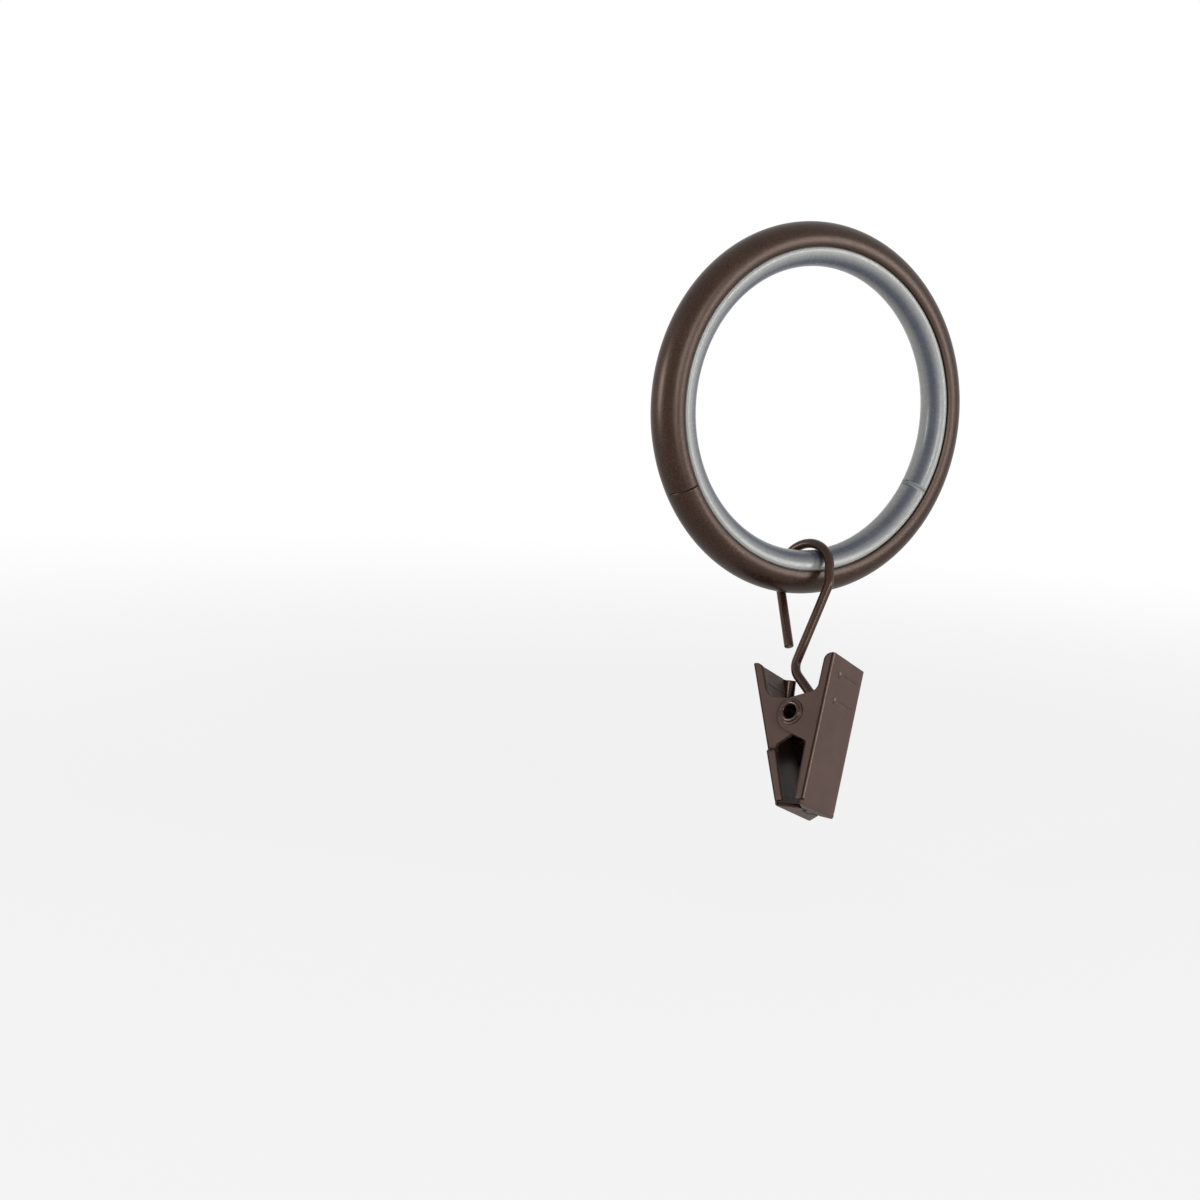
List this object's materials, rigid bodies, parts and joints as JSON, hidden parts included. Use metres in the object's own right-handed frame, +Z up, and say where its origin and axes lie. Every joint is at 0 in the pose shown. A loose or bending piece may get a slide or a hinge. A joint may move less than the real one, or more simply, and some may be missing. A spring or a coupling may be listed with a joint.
{
  "type": "curtain ring with clip",
  "caption": "Rolled metal curtain ring with a domed plastic liner, and a bent wire hook on it that carries a sprung jaw clip for the edge of a curtain",
  "frame": {"origin": "centre of the ring, on the axis of the curtain rod that it slides on", "axes": "+Y along the ring's axis and so along the rod, away from the side that the picture shows; +Z up; the ring lies in the XZ plane"},
  "size_m": [0.0508, 0.0204, 0.0802],
  "materials": {
    "ring_metal": "fine textured powder coat, dark bronze",
    "liner_plastic": "smooth, slightly translucent, light grey",
    "wire_metal": "satin dark bronze",
    "clip_metal": "satin brown, darker and redder at the cut edges",
    "spring_steel": "dark oiled steel"
  },
  "bodies": {
    "ring": {"metal_ring": "ring_metal", "ring_liner": "liner_plastic"},
    "hook": {"hook_wire": "wire_metal"},
    "inner_side": {"inner_jaw": "clip_metal", "pivot_rivet": "clip_metal", "torsion_spring": "spring_steel"},
    "outer_side": {"outer_jaw": "clip_metal"}
  },
  "joints": [
    {"name": "hook_swing", "type": "hinge", "parent": "ring", "child": "hook", "pos_m": [0, 0, -0.0224], "axis": [0.8951, 0.2585, -0.3632], "range_deg": [-90, 90]},
    {"name": "clip_swing", "type": "hinge", "parent": "hook", "child": "inner_side", "pos_m": [-0.00506, -0.00822, -0.04071], "axis": [0.8345, 0.3786, -0.4003], "range_deg": [-5, 20]},
    {"name": "jaw_squeeze", "type": "hinge", "parent": "inner_side", "child": "outer_side", "pos_m": [-0.00506, -0.00822, -0.04071], "axis": [0.8345, 0.3786, -0.4003], "range_deg": [-25, 0], "stiffness_Nm_per_rad": 0.002, "springref_deg": 5.73, "deforming": ["torsion_spring"]}
  ]
}
